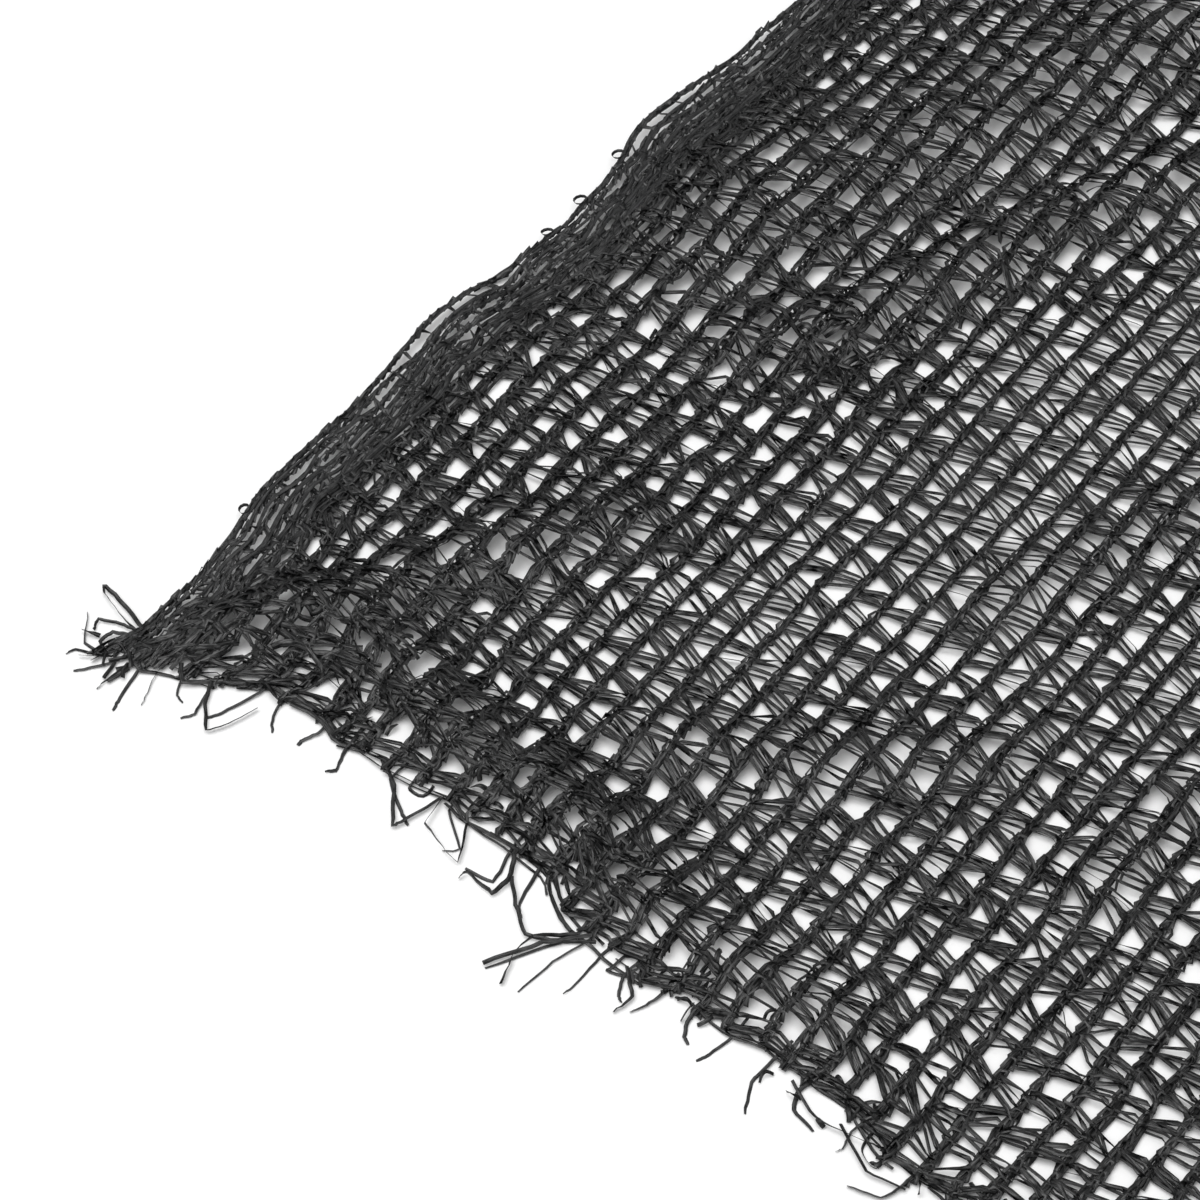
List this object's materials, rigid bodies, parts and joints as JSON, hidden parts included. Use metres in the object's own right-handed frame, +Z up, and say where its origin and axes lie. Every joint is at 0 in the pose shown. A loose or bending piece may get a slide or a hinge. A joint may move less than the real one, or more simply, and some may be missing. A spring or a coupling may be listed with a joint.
{
  "type": "shade net",
  "caption": "Cut corner length of black knitted shade net lying in low folds, with a dense selvedge along one side and a frayed cut edge.",
  "frame": {"origin": "middle of the whole, on the surface it lies on", "axes": "+X across the net from the selvedge to the far side, +Y along the wales from the frayed cut edge to the far end, +Z up"},
  "size_m": [0.327, 0.4044, 0.0079],
  "materials": {
    "net_tape": "black extruded tape with a soft sheen"
  },
  "bodies": {
    "root": {"net": "net_tape", "frayed_edge": "net_tape"}
  },
  "joints": []
}
